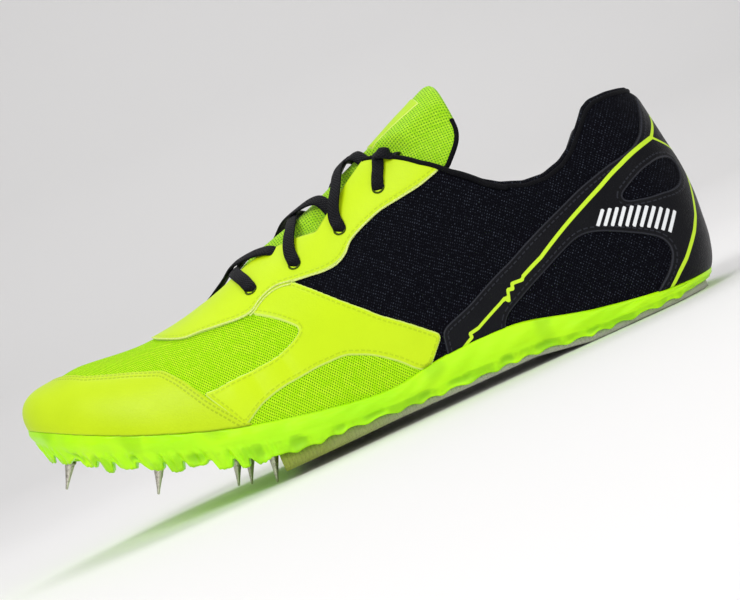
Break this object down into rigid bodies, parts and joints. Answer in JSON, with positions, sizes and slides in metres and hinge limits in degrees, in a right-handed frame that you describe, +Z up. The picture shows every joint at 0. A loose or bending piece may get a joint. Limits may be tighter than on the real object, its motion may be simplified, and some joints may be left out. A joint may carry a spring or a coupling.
{
  "type": "track spike shoe",
  "caption": "Low lightweight running shoe for the track, with a hollow laced upper, a stiff cupped sole that curves up at the toe, and steel pins under the forefoot.",
  "frame": {"origin": "middle of the footprint's bounding box, on the floor that the rear pins and the heel stand on", "axes": "+X towards the heel, -Y towards the outer (lateral) side, +Z up"},
  "size_m": [0.2848, 0.0944, 0.1176],
  "materials": {
    "mesh_fabric": "woven mesh",
    "neon_synthetic": "smooth coated",
    "black_synthetic": "fine grained",
    "neon_moulding": "moulded satin",
    "grey_rubber": "matt",
    "black_lining": "brushed",
    "tongue_fabric": "knitted",
    "black_lace": "braided",
    "pin_steel": "turned"
  },
  "bodies": {
    "root": {"upper": "mesh_fabric", "toe_cap": "neon_synthetic", "eyestay": "neon_synthetic", "forefoot_wing_lateral": "neon_synthetic", "forefoot_wing_medial": "neon_synthetic", "heel_cage": "black_synthetic", "sole": "neon_moulding", "outsole": "grey_rubber", "insole": "black_lining", "tongue": "tongue_fabric", "laces": "black_lace", "pin_toe": "pin_steel", "pin_lateral_mid": "pin_steel", "pin_medial_mid": "pin_steel", "pin_centre": "pin_steel", "pin_lateral_rear": "pin_steel", "pin_medial_rear": "pin_steel"}
  },
  "joints": []
}
